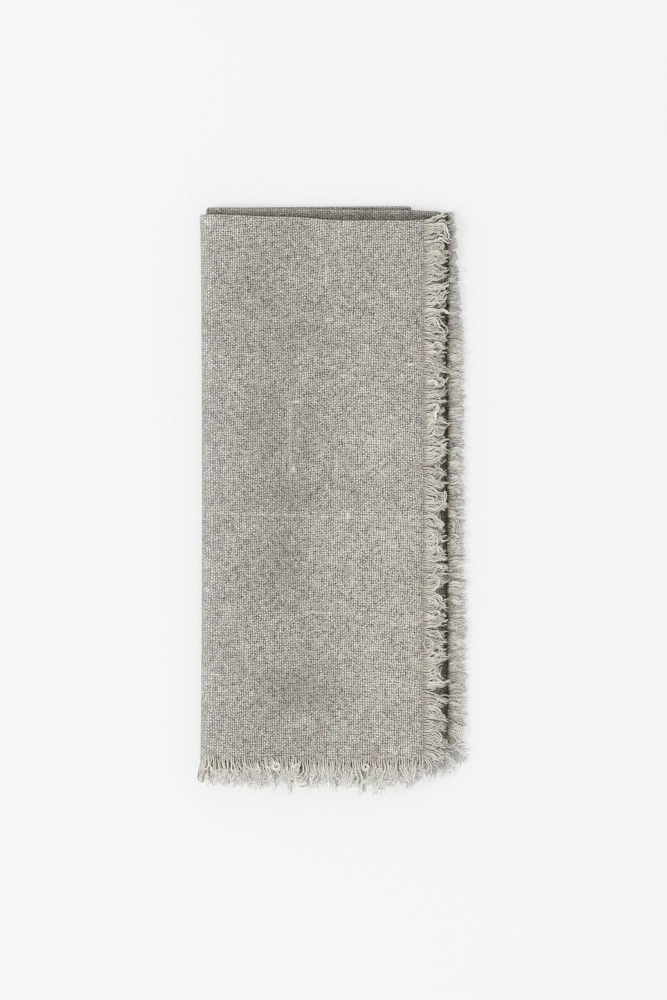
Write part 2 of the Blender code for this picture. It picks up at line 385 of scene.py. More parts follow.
def plain_weave():
    """The node group of a plain weave: each yarn goes over one and under the next, and no two are alike."""
    group = bpy.data.node_groups.new("plain_weave", "ShaderNodeTree")
    group.interface.new_socket("Place", in_out="INPUT", socket_type="NodeSocketVector")
    for name in ("Warp Pitch", "Weft Pitch"):
        group.interface.new_socket(name, in_out="INPUT", socket_type="NodeSocketFloat")
    for name in ("Tone", "Height", "Groove", "Gap"):
        group.interface.new_socket(name, in_out="OUTPUT", socket_type="NodeSocketFloat")
    tree = Tree(group)
    inside = group.nodes.new("NodeGroupInput")
    outside = group.nodes.new("NodeGroupOutput")
    flat = inside.outputs["Place"]
    split = group.nodes.new("ShaderNodeSeparateXYZ")
    tree.feed(split.inputs[0], flat)
    metres_u, metres_v = split.outputs[0], split.outputs[1]

    # The yarns are counted, and each strays a little from the even pitch
    stray_u = tree.times(tree.minus(tree.cloud(flat, WARP_STRAY_TURNS), 0.5), STRAY)
    stray_v = tree.times(tree.minus(tree.cloud(flat, WEFT_STRAY_TURNS), 0.5), STRAY)
    count_u = tree.plus(tree.over(metres_u, inside.outputs["Warp Pitch"]), stray_u)
    count_v = tree.plus(tree.over(metres_v, inside.outputs["Weft Pitch"]), stray_v)
    warp, weft = tree.math("FLOOR", count_u), tree.math("FLOOR", count_v)

    def yarn(count, which, cross_metres, turn):
        """The yarn's tone at a point, how far the point is from its middle, and its round top there."""
        off_middle = tree.math("ABSOLUTE", tree.minus(tree.times(tree.math("FRACT", count), 2.0), 1.0))
        toned = tree.place(tree.times(which, TONE_STEP), tree.times(cross_metres, TONE_TURNS), turn)
        along = tree.times(cross_metres, THICKNESS_TURNS)
        thick = tree.place(tree.times(which, THICKNESS_STEP), along, turn + 5.0)
        width = tree.plus(tree.times(tree.cloud(thick, 1.0, 1.0), THICKER), THINNEST)
        inner = tree.over(off_middle, width)
        left_over = tree.math("SUBTRACT", 1.0, tree.times(inner, inner), clamp=True)
        return tree.cloud(toned, 1.0, 3.0), inner, tree.math("SQRT", left_over)

    warp_tone, warp_inner, warp_top = yarn(count_u, warp, metres_v, 0.0)
    weft_tone, weft_inner, weft_top = yarn(count_v, weft, metres_u, 20.0)

    # Over and under: a wave along each yarn, turned over at each next yarn
    warp_wave = tree.math("SINE", tree.times(tree.plus(count_v, warp), math.pi))
    weft_wave = tree.math("SINE", tree.times(tree.plus(count_u, weft), math.pi))
    warp_height = tree.plus(tree.times(warp_top, ROUND_SHARE), tree.times(warp_wave, WAVE_SHARE))
    weft_height = tree.minus(tree.times(weft_top, ROUND_SHARE), tree.times(weft_wave, WAVE_SHARE))
    on_top = tree.ease(tree.minus(warp_height, weft_height), -SOFT_CROSSING, SOFT_CROSSING)
    yarn_tone = tree.plus(tree.times(warp_tone, on_top), tree.times(weft_tone, tree.minus(1.0, on_top)))
    crossing = tree.node("ShaderNodeTexWhiteNoise", tree.place(warp, weft, 3.0))
    tone = tree.plus(tree.times(yarn_tone, YARN_TONE), tree.times(crossing, CROSSING_TONE))
    tone = tree.plus(tone, tree.times(on_top, WARP_PALER))

    # Between two yarns only the cross yarns close the cloth, and at the corners nothing does
    corner = tree.place(tree.math("ROUND", count_u), tree.math("ROUND", count_v), 7.0)
    jitter = tree.times(tree.minus(tree.node("ShaderNodeTexWhiteNoise", corner), 0.5), GAP_UNEVEN)
    groove = tree.larger(tree.times(tree.ease(warp_inner, 0.55, 1.05), WARP_GROOVE),
                         tree.ease(weft_inner, 0.5, 1.0))
    gap = tree.times(tree.ease(tree.plus(warp_inner, jitter), 0.55, 0.95),
                     tree.ease(tree.plus(weft_inner, jitter), 0.55, 0.95))
    tree.feed(outside.inputs["Tone"], tone)
    tree.feed(outside.inputs["Height"], tree.larger(warp_height, weft_height))
    tree.feed(outside.inputs["Groove"], groove)
    tree.feed(outside.inputs["Gap"], gap)
    return group


WEAVE = plain_weave()

# What is placed on the front panel is given in the photograph's pixels
PIXEL = 0.4386 * MM
PHOTO_MIDDLE = Vector((333.25, 496.25))
FRONT_PANEL_FROM, FRONT_PANEL_START, _ = STRIP_ROUTE.starts[NAMES.index("front_panel_left")]


def front_across(photo_x):
    """The place across the flat cloth of a point of the front panel."""
    return FRONT_PANEL_FROM + (photo_x - PHOTO_MIDDLE.x) * PIXEL - SHIFT_X - FRONT_PANEL_START[0]


def front_along(photo_y):
    """The place along the flat cloth of a point of the front panel."""
    return (PHOTO_MIDDLE.y - photo_y) * PIXEL - cloth_low.y


# Broad places of the front panel painted paler or deeper: painted light and shade on its broad relief
ShadingPatch = namedtuple("ShadingPatch", "x y reach_x reach_y tone")
SHADING_PATCHES = (
    ShadingPatch(202, 480, 14, 420, -0.14),
    ShadingPatch(226, 480, 12, 400, 0.04),
    ShadingPatch(276, 500, 36, 330, -0.11),
    ShadingPatch(270, 400, 16, 12, -0.10),
    ShadingPatch(292, 495, 38, 16, -0.10),
    ShadingPatch(286, 560, 24, 30, -0.10),
    ShadingPatch(296, 690, 42, 24, -0.14),
    ShadingPatch(265, 300, 20, 11, -0.10),
    ShadingPatch(390, 600, 45, 200, 0.06),
    ShadingPatch(310, 280, 110, 80, -0.025),
)

# Painted shade in the deep slit beside the second panel's fringe, and on the strips of the folds that show
# at the top
SLIT_SHADE = -0.95
SLIT_REACH = 3.8 * MM
SLIT_ENDS = 8.0 * MM
TOP_FOLD_SHADE = -0.6
TOP_SHADE_AT = 3.3 * MM
TOP_SHADE_REACH = 2.8 * MM

# Painted highlight where the pressed folds catch the light, along the left one at a column of the
# photograph
FOLD_HIGHLIGHT = 0.5
FOLD_HIGHLIGHT_AT = 203
FOLD_HIGHLIGHT_REACH = 6.0 * MM
TOP_FOLD_HIGHLIGHT = 0.4
TOP_FOLD_HIGHLIGHT_REACH = 1.2 * MM

# Thick pale places in single yarns: which way the yarn runs, where it lies, and where the place starts and
# ends along it
SLUB_TAPER = 4.0 * MM
Slub = namedtuple("Slub", "runs at start end strength")
SLUBS = (
    Slub("weft", 515, 203, 424, 0.14),
    Slub("weft", 515, 341, 356, 0.6),
    Slub("warp", 348, 507, 521, 0.6),
    Slub("weft", 361, 404, 416, 0.65),
    Slub("weft", 401, 289, 304, 0.5),
    Slub("weft", 612, 300, 352, 0.2),
    Slub("weft", 300, 235, 262, 0.2),
    Slub("warp", 290, 400, 490, 0.14),
    Slub("warp", 290, 450, 464, 0.22),
    Slub("warp", 293, 462, 475, 0.5),
    Slub("warp", 295, 464, 474, 0.35),
    Slub("warp", 336, 444, 480, 0.16),
    Slub("warp", 352, 560, 590, 0.2),
    Slub("warp", 246, 640, 668, 0.2),
    Slub("warp", 326, 250, 281, 0.25),
)


def from_fold(v):
    """How far along the cloth a place is from the middle of the top fold."""
    return PLY_RUN + math.pi * TOP_RADIUS / 2 - v


def painted_shading_at(u, v):
    """How much the cloth is painted paler or deeper at a place: painted light and shade on the front panel,
    and painted shade in the slit by the second edge, which fades at its ends, and on the top folds behind
    the front one."""
    off_fold = abs(from_fold(v))
    from_end = min(abs(v), abs(CLOTH_LENGTH - v), off_fold) / SLIT_ENDS
    tone = SLIT_SHADE * math.exp(-(u / SLIT_REACH) ** 2) * (1 - math.exp(-from_end ** 2))
    if u < FRONT_PANEL_FROM - math.pi * OUTER_RADIUS:
        tone += TOP_FOLD_SHADE * math.exp(-((off_fold - TOP_SHADE_AT) / TOP_SHADE_REACH) ** 2)
    for patch in SHADING_PATCHES:
        across = (u - front_across(patch.x)) / (patch.reach_x * PIXEL)
        along = (v - front_along(patch.y)) / (patch.reach_y * PIXEL)
        tone += patch.tone * math.exp(-across * across - along * along)
    return tone


def fold_highlight_share(u, v):
    """How much painted highlight the cloth takes where its pressed folds catch the light, most along its
    left and top folds.
    """
    left = FOLD_HIGHLIGHT * math.exp(-((u - front_across(FOLD_HIGHLIGHT_AT)) / FOLD_HIGHLIGHT_REACH) ** 2)
    return max(left, TOP_FOLD_HIGHLIGHT * math.exp(-(from_fold(v) / TOP_FOLD_HIGHLIGHT_REACH) ** 2))


def slub_mask(tree, flat):
    """How much each point lies on one of the slubs."""
    split = tree.tree.nodes.new("ShaderNodeSeparateXYZ")
    tree.feed(split.inputs[0], flat)
    u, v = split.outputs[0], split.outputs[1]
    mask = 0.0
    for slub in SLUBS:
        if slub.runs == "warp":
            across, along, middle, pitch = u, v, front_across(slub.at), WARP_PITCH
            ends = sorted((front_along(slub.start), front_along(slub.end)))
        else:
            across, along, middle, pitch = v, u, front_along(slub.at), WEFT_PITCH
            ends = sorted((front_across(slub.start), front_across(slub.end)))
        taper = min((ends[1] - ends[0]) / 2, SLUB_TAPER)
        off = tree.math("ABSOLUTE", tree.minus(across, middle))
        beside = tree.minus(1.0, tree.ease(off, 0.4 * pitch, 0.9 * pitch))
        begun = tree.ease(along, ends[0], ends[0] + taper)
        ended = tree.ease(along, ends[1] - taper, ends[1])
        here = tree.times(beside, tree.times(begun, tree.minus(1.0, ended)))
        mask = tree.larger(mask, tree.times(here, slub.strength))
    return mask


def plain_values(node, values):
    """Sets the sockets of a node that are the same all over the surface."""
    for name, value in values.items():
        node.inputs[name].default_value = value


# Grey-beige linen: its yarns, painted shade in the hollows and holes between them, deep painted shade in
# the slit, and the slubs.
# The casts are the slight turns of hue over it, and the cooler one goes with the painted highlight on the
# folds.
LINEN_PALE = (0.72, 0.695, 0.666, 1.0)
LINEN_DEEP = (0.344, 0.325, 0.302, 1.0)
LINEN_HOLLOW = (0.125, 0.113, 0.096, 1.0)
LINEN_GAP = (0.022, 0.0185, 0.014, 1.0)
LINEN_IN_SHADE = (0.062, 0.048, 0.033, 1.0)
LINEN_SLUB = (0.70, 0.68, 0.64, 1.0)
ROSE_CAST = (1.0, 0.96, 0.955, 1.0)
GREEN_CAST = (0.97, 1.0, 0.95, 1.0)
COOL_CAST = (0.94, 1.0, 1.09, 1.0)
NO_CAST = (1.0, 1.0, 1.0, 1.0)
LINEN_FINISH = {"Roughness": 0.95, "Specular IOR Level": 0.2, "Sheen Weight": 0.15}
WEAVE_BUMP = {"Distance": 0.25 * MM, "Strength": 1.0}
CAST_SHIFT = (0.3, 0.7, 0.0)
BROAD_TURNS = 45.0
MIDDLING_TURNS = 150.0
CAST_TURNS = 130.0


def linen_material():
    """The weave's colour: its yarns' tones, painted light and shade, hue, a painted fold highlight, and
    painted shade between the yarns.
    """
    material = bpy.data.materials.new("linen_cloth")
    material.use_nodes = True
    tree = Tree(material.node_tree)
    shader = material.node_tree.nodes["Principled BSDF"]
    flat = tree.node("ShaderNodeUVMap", uv_map="flat")
    weave = material.node_tree.nodes.new("ShaderNodeGroup")
    weave.node_tree = WEAVE
    tree.feed(weave.inputs["Place"], flat)
    plain_values(weave, {"Warp Pitch": WARP_PITCH, "Weft Pitch": WEFT_PITCH})

    broad = tree.plus(tree.times(tree.cloud(flat, BROAD_TURNS, 1.0), 0.5),
                      tree.times(tree.cloud(flat, MIDDLING_TURNS, 2.0), 0.5))
    tone = tree.plus(weave.outputs["Tone"], tree.times(tree.minus(broad, 0.5), 0.5))
    # Painted light and shade: the broad patches, the deep slit, and the shaded strips of the top folds
    tone = tree.plus(tone, tree.attribute("painted_shading"))
    yarn = tree.mix(tree.ease(tone, 0.18, 0.82), LINEN_DEEP, LINEN_PALE)
    yarn = tree.mix(tree.ease(tone, -0.5, 0.3), LINEN_IN_SHADE, yarn)
    shifted = tree.node("ShaderNodeVectorMath", flat, CAST_SHIFT, operation="ADD")
    hue = tree.ease(tree.cloud(shifted, CAST_TURNS, 1.0), 0.3, 0.7)
    yarn = tree.multiply(yarn, tree.mix(hue, ROSE_CAST, GREEN_CAST))

    # Painted highlight on the folds: paler, cooler, and with less of the painted shade between the yarns
    highlit = tree.attribute("highlit")
    yarn = tree.multiply(yarn, tree.mix(highlit, NO_CAST, COOL_CAST))
    open_share = tree.minus(1.0, highlit)
    # Painted shade darkens the low parts of the weave, the grooves beside the yarns and the holes at their
    # corners
    raised = tree.larger(tree.ease(weave.outputs["Height"], 0.1, 0.95), highlit)
    shaded = tree.mix(raised, LINEN_HOLLOW, yarn)
    groove = tree.times(tree.times(weave.outputs["Groove"], 0.5), open_share)
    grooved = tree.mix(groove, shaded, LINEN_HOLLOW)
    colour = tree.mix(tree.times(weave.outputs["Gap"], open_share), grooved, LINEN_GAP)
    colour = tree.mix(slub_mask(tree, flat), colour, LINEN_SLUB)
    tree.feed(shader.inputs["Base Color"], colour)
    plain_values(shader, LINEN_FINISH)
    bump = material.node_tree.nodes.new("ShaderNodeBump")
    plain_values(bump, WEAVE_BUMP)
    tree.feed(bump.inputs["Height"], weave.outputs["Height"])
    tree.feed(shader.inputs["Normal"], bump.outputs["Normal"])
    return material


# The cross yarns end unevenly along the frayed edges
EDGE_UNEVEN = 1.4 * MM
EDGE_SPAN = 2.3 * MM
EDGE_SLICE = 0.7


def drawn_edge(place, beside, end):
    """A place across the flat cloth, or along it, moved if it is on an edge."""
    if 0 < place < end:
        return place
    return place + EDGE_UNEVEN * noise.noise(Vector((beside / EDGE_SPAN, place / EDGE_SPAN, EDGE_SLICE)))


cloth_shape = flat_cloth(column_lines(STRIP), column_lines(PLIES))
# Each point carries its painted light and shade, and how much painted highlight its fold takes
painted_shading = cloth_shape.verts.layers.float.new("painted_shading")
highlit = cloth_shape.verts.layers.float.new("highlit")
for vertex in cloth_shape.verts:
    u, v, h = vertex.co
    vertex[painted_shading] = painted_shading_at(u, v)
    vertex[highlit] = fold_highlight_share(u, v)
    vertex.co = folded(drawn_edge(u, v, CLOTH_WIDTH), drawn_edge(v, u, CLOTH_LENGTH), h)
cloth = piece_of(cloth_shape, "woven_linen", linen_material())
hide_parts("napkin_cloth")

# The frayed edges: the cross yarns are drawn out of the last centimetre, and the yarns that are left stand
# loose, still crimped from the weave, in locks that lean and curl together, with fibres teased out of
# them. Nothing holds them but the weave, some way back from the edge.
FOOT_FRINGE = 10.4 * MM
YARN_STEPS = 13
FIBRE_STEPS = 5
SIDES = 3
SEED = 11
ROOT_LIFT = 0.5 * MM
CRIMP = 0.11 * MM
FIBRE_RADIUS = 0.08 * MM
# The fibres are paler than their yarn, partly painted light for the light that passes through them
FIBRE_PALER = 0.5

# Shares of a yarn's way to its tip: where its lock has drawn it in, where a ring starts, and how far the
# shade at its root reaches
GATHERED_AT = 0.45
RING_FROM = 0.2
SHADE_SHARE = 0.17

# How each lock differs from the rest of its edge, and how much of its neighbour's sweep it takes on
LOCK_WIDTH = (0.5, 1.5)
LOCK_GATHER = (0.6, 1.2)
LOCK_WAVE = (0.2, 1.2)
LOCK_REACH = (0.93, 1.05)
LOCK_RING = (0.6, 1.2)
SWEPT_ALONG = 0.6
STRAY_LEAN = 0.3

# How each yarn differs from its lock: where it starts, its length, which is more in a ring, its own slow
# sway, and how many millimetres it lifts towards its tip. Then how quickly it leans and arches.
ROOTS_UNEVEN = 0.2
ROOT_DEPTH = (0.1, 1.0)
LONGEST = 1.06
RING_SLACK = 0.45
SWAY = 0.3
SWAY_WAVES = (1.0, 2.6)
LEAST_SWAY = 0.25
LIFT = (-0.3, 0.4)
THICKNESS = (0.7, 1.15)
TIP_TAPER = 0.6
LEAN_EASE = 0.15
ARCH_EASE = 0.8
LEAST_ARCH = 0.15

# How a loose fibre turns, waves, and climbs in millimetres
FIBRE_TURN = 1.7
FIBRE_WAVES = (0.5, 2.0)
FIBRE_CLIMB = (-0.3, 0.9)

# How one edge has frayed. Its yarns: their reach, how unevenly they end, how thick they are and how much
# thicker they fluff up towards the tips, how far back in the cloth they start, how pale they are, how deep
# the painted shade on their roots is, how many go their own way, and how long the loose fibres are. Its
# locks: their span, how far they are drawn in, sweep to a side, wave and how often, bend, how many end in
# rings, how high they arch, and how far their yarns twist round each other.
Fray = namedtuple("Fray", "reach ragged span gather sweep wave waves bend rings loft twist stray radius "
                  "fluff fibres pale root shade")
Lock = namedtuple("Lock", "middle half gather lean bend wave phase reach rise twist ring tone")
Ring = namedtuple("Ring", "at turn")
Bend = namedtuple("Bend", "along out up heading tipward")
Laid = namedtuple("Laid", "place radius tipward tone")
Edge = namedtuple("Edge", "run pitch fray reach_at lean_at fibres_at rings place_of")

# Loops that show in the fringe at the foot, by their columns in the photograph, the yarns that they take
# up, and the room round them that is clear of fibres
FOOT_RINGS = [Ring(front_across(274), 1.78), Ring(front_across(299), -1.78), Ring(front_across(363), 1.78)]
RING_YARNS = 1.2 * MM
RING_CLEAR = 2.6 * MM

# Round the left fold the yarns are in shade, and those at the foot spread to the left
LEFT_SHADE = 1.0
LEFT_SHADE_REACH = 3.0 * MM
FLARE = 0.2
FLARE_REACH = 2.5 * MM


def near(distance, reach):
    """1 at no distance, fading out over the reach."""
    return math.exp(-max(distance, 0.0) / reach)


def lock_at(middle, width, sweep, fray, dice):
    ring = dice.choice((-1, 1)) * dice.uniform(*LOCK_RING) if dice.random() < fray.rings else 0.0
    return Lock(
        middle=middle,
        half=width / 2,
        gather=fray.gather * dice.uniform(*LOCK_GATHER),
        lean=sweep,
        bend=dice.gauss(0, fray.bend),
        wave=fray.wave * dice.uniform(*LOCK_WAVE),
        phase=dice.uniform(0, math.tau),
        reach=dice.uniform(*LOCK_REACH),
        rise=dice.uniform(0.0, 1.0),
        twist=fray.twist * dice.uniform(-1.0, 1.0),
        ring=ring,
        tone=dice.random())


def locks_along(run, fray, dice):
    """The locks of one edge, side by side, neighbours leaning together."""
    locks, along, sweep = [], 0.0, 0.0
    while along < run:
        width = fray.span * dice.uniform(*LOCK_WIDTH)
        sweep = SWEPT_ALONG * sweep + dice.gauss(0, fray.sweep)
        locks.append(lock_at(along + width / 2, width, sweep, fray, dice))
        along += width
    return locks


def lock_of(root, locks, rings, fray, dice):
    """The lock that a yarn lies in: a listed ring, one of its own for a stray, or the edge's."""
    for ring in rings:
        if abs(root - ring.at) < RING_YARNS:
            return Lock(middle=ring.at, half=0.0, gather=1.0, lean=0.0, bend=0.0, wave=0.0, phase=0.0,
                        reach=0.6, rise=1.8, twist=0.0, ring=ring.turn, tone=0.8)
    index = 0
    while index < len(locks) - 1 and root > locks[index].middle + locks[index].half:
        index += 1
    if dice.random() < fray.stray:
        return lock_at(root, 0.0, locks[index].lean + dice.gauss(0, STRAY_LEAN), fray, dice)
    return locks[index]


def yarn_path(root, lock, reach, fray, dice):
    """The bends of one loose yarn in its edge's own measure: along the edge, out from it, and up. It starts
    at its own root and follows the middle line of its lock, drawn in beside the others."""
    ring_length = 1 + RING_SLACK * abs(lock.ring)
    length = reach * lock.reach * dice.uniform(1 - fray.ragged, LONGEST) * ring_length
    waves = dice.uniform(*SWAY_WAVES)
    phase = dice.uniform(0, math.tau)
    sway = dice.gauss(0, SWAY)
    lift = dice.uniform(*LIFT) * MM
    along, out = lock.middle, 0.0
    path = [Bend(root, -dice.uniform(*ROOT_DEPTH) * fray.root, ROOT_LIFT, 0.0, 0.0)]
    for i in range(YARN_STEPS):
        t = (i + 0.3) / (YARN_STEPS - 0.7)

        # It leans from its root on, and bends, waves, rings and sways more and more towards its tip
        heading = lock.lean * t ** LEAN_EASE + lock.bend * t * t
        heading += lock.wave * math.sin(fray.waves * math.tau * t + lock.phase) * min(2 * t, 1)
        heading += lock.ring * 1.5 * math.pi * max(t - RING_FROM, 0.0)
        heading += sway * math.sin(waves * math.tau * t + phase) * (LEAST_SWAY + t)
        share = min(t / GATHERED_AT, 1.0)
        off = (root - lock.middle) * (1 - lock.gather * share * share * (3 - 2 * share))
        beside = off * math.cos(lock.twist * t) + CRIMP * (-1) ** i
        arch = math.sin(math.pi * t ** ARCH_EASE) * (LEAST_ARCH + lock.rise) * fray.loft
        up = ROOT_LIFT + arch + lift * t + off * math.sin(lock.twist * t)
        place = (along + beside * math.cos(heading), out - beside * math.sin(heading), up)
        path.append(Bend(*place, heading, t))
        along += math.sin(heading) * length / YARN_STEPS
        out += math.cos(heading) * length / YARN_STEPS
    return path


def fibre_path(yarn, first, lengths, dice):
    """The bends of one fibre that has worked loose from a yarn, at its first bend or later."""
    along, out, up, heading, tipward = yarn[dice.randrange(first, YARN_STEPS)]
    length = dice.uniform(*lengths)
    turn = dice.gauss(0, FIBRE_TURN)
    waves = dice.uniform(*FIBRE_WAVES)
    phase = dice.uniform(0, math.tau)
    climb = dice.uniform(*FIBRE_CLIMB) * MM
    path = []
    for i in range(FIBRE_STEPS + 1):
        t = i / FIBRE_STEPS
        path.append(Bend(along, out, up + climb * t, heading, tipward + (1 - tipward) * t))
        heading += (turn + 0.5 * math.tau * waves * math.cos(waves * math.tau * t + phase)) / FIBRE_STEPS
        along += math.sin(heading) * length / FIBRE_STEPS
        out += math.cos(heading) * length / FIBRE_STEPS
    return path


def laid_down(path, root, thick, tone, share, edge):
    """A yarn's or fibre's bends on the folded napkin, above the surface, each with its radius and tone."""
    laid = []
    for bend in path:
        x, y, z = edge.place_of(root, bend.along, bend.out)
        radius = thick * (1 + edge.fray.fluff * bend.tipward) * (1 - TIP_TAPER * bend.tipward ** 5)
        # Painted shade: the second fringe's roots in the slit, and the yarns by the left fold, are given a
        # deeper tone
        shade = edge.fray.shade * math.exp(-(bend.tipward * share / SHADE_SHARE) ** 2)
        shade += LEFT_SHADE * near(x - cloth_low.x, LEFT_SHADE_REACH)
        laid.append(Laid((x, y, max(z + bend.up, thick), 1.0), radius, bend.tipward, tone - shade))
    return laid


def round_section():
    """The cross section of a yarn, which the curves are given."""
    section = bpy.data.curves.new("yarn_section", "CURVE")
    section.dimensions = "2D"
    line = section.splines.new("POLY")
    line.points.add(SIDES - 1)
    line.use_cyclic_u = True
    for i, point in enumerate(line.points):
        point.co = (math.cos(math.tau * i / SIDES), math.sin(math.tau * i / SIDES), 0, 1)
    return bpy.data.objects.new("yarn_section", section)


YARN_SECTION = round_section()


def tube_shape(name, tubes):
    """The tubes as one shape, each point with its share of the way to the tip and a tone of its own."""
    curve = bpy.data.curves.new(name, "CURVE")
    curve.dimensions = "3D"
    curve.bevel_mode = "OBJECT"
    curve.bevel_object = YARN_SECTION
    curve.use_fill_caps = True
    for tube in tubes:
        spline = curve.splines.new("POLY")
        spline.points.add(len(tube) - 1)
        for point, laid in zip(spline.points, tube):
            point.co = laid.place
            point.radius = laid.radius
    holder = bpy.data.objects.new(name + "_curve", curve)
    bpy.context.scene.collection.objects.link(holder)
    depsgraph = bpy.context.evaluated_depsgraph_get()
    mesh = bpy.data.meshes.new_from_object(holder.evaluated_get(depsgraph))
    bpy.data.objects.remove(holder)
    bpy.data.curves.remove(curve)

    # The end caps come first, from the last tube to the first, tip before root, and then all the rings
    turns = [tube[end] for tube in reversed(tubes) for end in (-1, 0)]
    turns += [laid for tube in tubes for laid in tube]
    points = [laid for laid in turns for _ in range(SIDES)]
    tipward = mesh.attributes.new("tipward", "FLOAT", "POINT")
    tipward.data.foreach_set("value", [laid.tipward for laid in points])
    tone = mesh.attributes.new("tone", "FLOAT", "POINT")
    tone.data.foreach_set("value", [laid.tone for laid in points])
    shape = bmesh.new()
    shape.from_mesh(mesh)
    bpy.data.meshes.remove(mesh)
    bmesh.ops.remove_doubles(shape, verts=shape.verts, dist=0.001 * MM)
    return shape


# Loose yarn is paler than the weave, palest at its tips in part by painted light, and a little deeper at
# its roots in painted shade
YARN_PALE = (0.69, 0.675, 0.63, 1.0)
YARN_DEEP = (0.47, 0.445, 0.395, 1.0)
YARN_TIP = (0.80, 0.79, 0.765, 1.0)
YARN_ROOT = (0.92, 0.91, 0.90, 1.0)
YARN_FINISH = {"Roughness": 0.9, "Specular IOR Level": 0.15}
YARN_TURNS = 900.0
YARN_CAST_TURNS = 110.0


def yarn_material():
    """The loose yarn's colour, from each yarn's tone and how far along it a point is, with painted shade
    and light.
    """
    material = bpy.data.materials.new("linen_yarn")
    material.use_nodes = True
    tree = Tree(material.node_tree)
    shader = material.node_tree.nodes["Principled BSDF"]
    tipward = tree.attribute("tipward")
    tone = tree.attribute("tone")
    here = tree.node("ShaderNodeTexCoord", out=3)
    share = tree.plus(tree.times(tone, 0.5), tree.times(tree.cloud(here, YARN_TURNS, 2.0), 0.5))
    yarn = tree.mix(share, YARN_DEEP, YARN_PALE)
    hue = tree.ease(tree.cloud(here, YARN_CAST_TURNS, 1.0), 0.3, 0.7)
    yarn = tree.multiply(yarn, tree.mix(hue, ROSE_CAST, GREEN_CAST))
    # Painted shade: a little deeper near the roots, where the cloth's edge shades them
    rooted = tree.mix(tree.ease(tipward, 0.04, 0.3), tree.multiply(yarn, YARN_ROOT), yarn)
    # Paler towards the tips, partly the fluff's own colour and partly painted light for the light through
    # the fibres
    paler_to_tip = tree.times(tree.ease(tipward, 0.35, 1.0), tree.ease(tone, 0.2, 1.2))
    colour = tree.mix(paler_to_tip, rooted, YARN_TIP)
    # Painted shade where the tone runs lowest: the second fringe's roots in the slit and the yarns by the
    # left fold
    colour = tree.mix(tree.ease(tone, -1.0, 0.1), LINEN_IN_SHADE, colour)
    tree.feed(shader.inputs["Base Color"], colour)
    plain_values(shader, YARN_FINISH)
    return material


YARN = yarn_material()


def loose_yarns(name, edge, seed):
    """All the yarns and fibres of one frayed edge, as fine tubes in one piece."""
    dice = random.Random(seed)
    fray = edge.fray
    locks = locks_along(edge.run, fray, dice)
    tubes = []
    for i in range(int(edge.run / edge.pitch)):
        root = (i + 0.5 + dice.uniform(-ROOTS_UNEVEN, ROOTS_UNEVEN)) * edge.pitch
        lock = lock_of(root, locks, edge.rings, fray, dice)
        lock = lock._replace(lean=lock.lean + edge.lean_at(root))
        tone = fray.pale + (1 - fray.pale) * (lock.tone + dice.random()) / 2
        share = edge.reach_at(root)
        yarn = yarn_path(root, lock, fray.reach * share, fray, dice)
        count, first = edge.fibres_at(root)
        fibres = [fibre_path(yarn, first, fray.fibres, dice) for _ in range(count)]
        thick = fray.radius * dice.uniform(*THICKNESS)
        tubes.append(laid_down(yarn, root, thick, tone, share, edge))
        for fibre in fibres:
            tubes.append(laid_down(fibre, root, FIBRE_RADIUS, tone + FIBRE_PALER, share, edge))
    piece = piece_of(tube_shape(name, tubes), name, YARN)
    return piece


# The two ends of the cloth at the foot: their yarns lean out at the corners and in at the left fold, and
# are shorter at that fold and at the front corner. One place below the front panel leans to the right and
# one is longer, each given with its reach and its height. A part of that fringe is matted with fibres.
LEFT_FOLD_U = FRONT_PANEL_FROM - math.pi * OUTER_RADIUS / 2
RIGHT_LEANING = (front_across(235), 16 * MM, 0.3)
LONGER = (front_across(388), 12 * MM, 0.12)
SECOND_CORNER = 12 * MM
MANY_FIBRES = 34
FEW_FIBRES = 2
MATTED_FROM = front_across(310)
MATTED_BEND = 3


def swell(u, spot):
    """A soft rise about a place, given with its reach and height."""
    middle, reach, height = spot
    off = (u - middle) / reach
    return height * math.exp(-off * off)


def foot_lean(u):
    in_at_fold = near(abs(u - LEFT_FOLD_U), 4 * MM) * (-0.15 if u > LEFT_FOLD_U else 0.15)
    out_at_corners = 0.35 * near(CLOTH_WIDTH - u, 7 * MM) - 1.2 * near(u, 6 * MM)
    return out_at_corners + swell(u, RIGHT_LEANING) + in_at_fold


def foot_reach(u):
    shorter = 0.25 * near(CLOTH_WIDTH - u, 5 * MM) + 0.3 * near(abs(u - LEFT_FOLD_U), 6 * MM)
    return 1 + swell(u, LONGER) - shorter


def foot_fibres(u):
    """How many fibres are teased out of a yarn, and from which of its bends on: none by the loops, many on
    the front panel and at the second one's corner, and from near the roots where the fringe is matted."""
    if any(abs(u - ring.at) < RING_CLEAR for ring in FOOT_RINGS):
        return 0, YARN_STEPS - 1
    seen = u > FRONT_PANEL_FROM or u < SECOND_CORNER
    return (MANY_FIBRES if seen else FEW_FIBRES), (MATTED_BEND if u > MATTED_FROM else YARN_STEPS // 2)


def flared(point, out):
    """A point of the fringe at the foot, moved to the left if it is by the left fold."""
    x, y, z = point
    return x - FLARE * max(out, 0.0) * near(x - cloth_low.x, FLARE_REACH), y, z


def foot_outer_place(root, along, out):
    return flared(folded(along, -out, 0.0), out)


def foot_inner_place(root, along, out):
    return flared(folded(along, CLOTH_LENGTH + out, 0.0), out)


# The two sides of the cloth at the right: their yarns lean up at the top fold, on both plies, and down at
# the corners at the foot. The fibres are few, and most are on the upper ply.
def side_lean(v):
    up_at_fold = near(abs(from_fold(v)), 8 * MM) * (0.4 if from_fold(v) > 0 else -0.4)
    return up_at_fold - 1.4 * near(v, 5 * MM) + 1.4 * near(CLOTH_LENGTH - v, 5 * MM)


